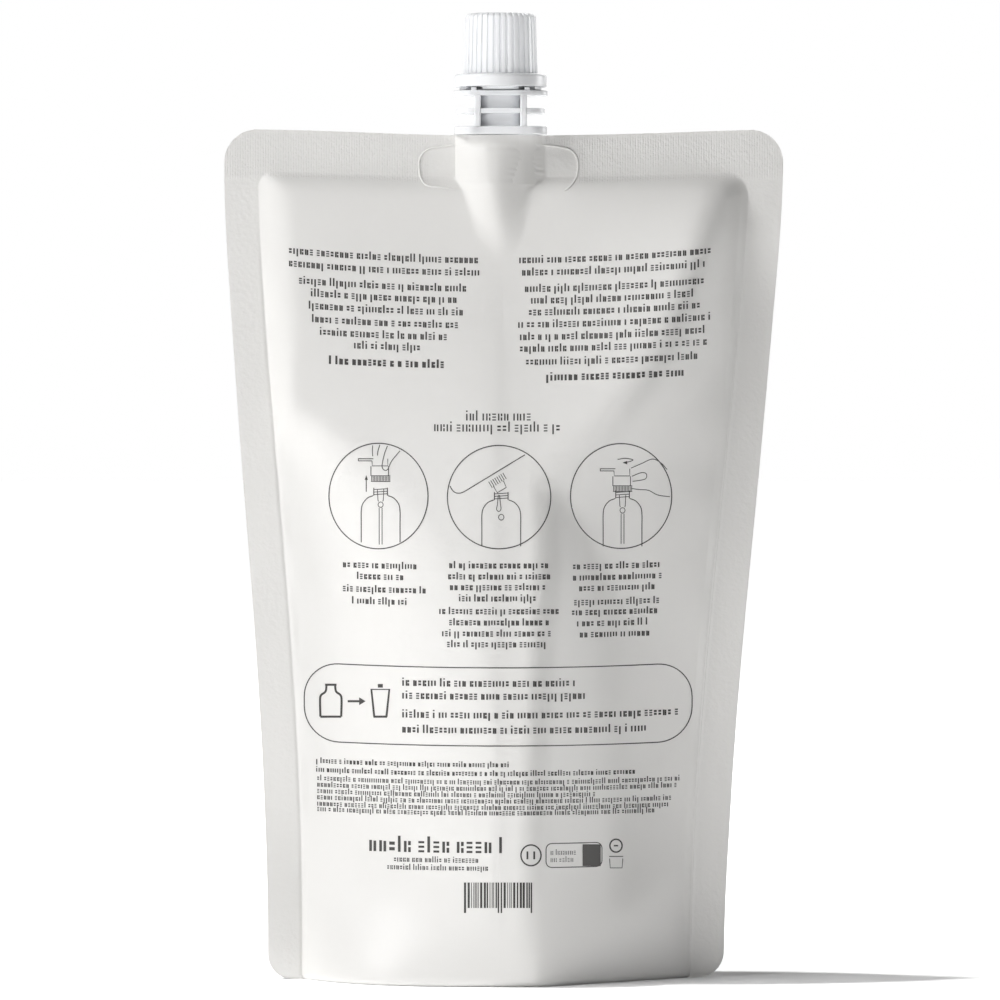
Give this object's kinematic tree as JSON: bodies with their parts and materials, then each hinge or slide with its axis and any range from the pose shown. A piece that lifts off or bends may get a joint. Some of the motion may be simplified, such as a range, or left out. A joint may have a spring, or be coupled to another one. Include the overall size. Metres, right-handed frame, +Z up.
{
  "type": "hand soap refill pack",
  "caption": "Stand-up film refill pack for liquid hand soap, with heat-sealed edges, a folded base, a flanged pouring spout and a ribbed screw cap.",
  "frame": {"origin": "on the floor under the middle of the pack, below the spout's axis", "axes": "+Z up along the spout's axis, +X to the right of the printed face, -Y out of the printed face"},
  "size_m": [0.1556, 0.0714, 0.2684],
  "materials": {
    "film": "satin pearl-white laminate film",
    "moulding": "semi-gloss white moulded plastic",
    "liner": "matt foam",
    "print": "dark grey ink on film"
  },
  "bodies": {
    "pack": {"pouch": "film", "spout": "moulding", "tamper_band": "moulding"},
    "liner": {"seal_disc": "liner"},
    "cap": {"cap": "moulding"}
  },
  "joints": [
    {"name": "cap_lift", "type": "slide", "parent": "pack", "child": "liner", "axis": [0, 0, 1], "range_m": [0, 0.021]},
    {"name": "cap_turn", "type": "hinge", "parent": "liner", "child": "cap", "pos_m": [0, 0, 0.26], "axis": [0, 0, 1], "range_deg": [0, 2520]}
  ],
  "couplings": [
    {"joint": "cap_lift", "follows": "cap_turn", "m_per_rad": 0.00047746}
  ]
}
